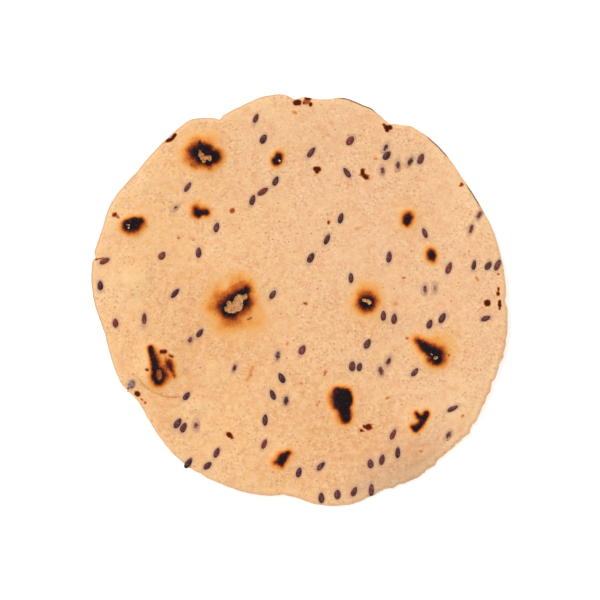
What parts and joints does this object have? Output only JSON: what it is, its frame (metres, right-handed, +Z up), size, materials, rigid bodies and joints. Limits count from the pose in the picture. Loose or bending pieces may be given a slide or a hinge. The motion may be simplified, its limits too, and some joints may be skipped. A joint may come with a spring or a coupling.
{
  "type": "corn flaxseed tostada",
  "caption": "Thin crisp round of baked corn dough with puffed, scorched blisters, an uneven curled rim and flaxseeds set in both faces.",
  "frame": {"origin": "under the middle of the plan, on the surface that the tostada lies on", "axes": "+Z up through the thickness, out of the scorched upper face; +X to the right and +Y to the top of the picture"},
  "size_m": [0.1495, 0.1481, 0.006],
  "materials": {
    "corn_dough": "matte baked corn dough, fine and slightly gritty, toasted to brown and black on the blisters",
    "flaxseed": "smooth, dark reddish brown seed coat with a soft gloss"
  },
  "bodies": {
    "root": {"tostada": "corn_dough"}
  },
  "joints": []
}
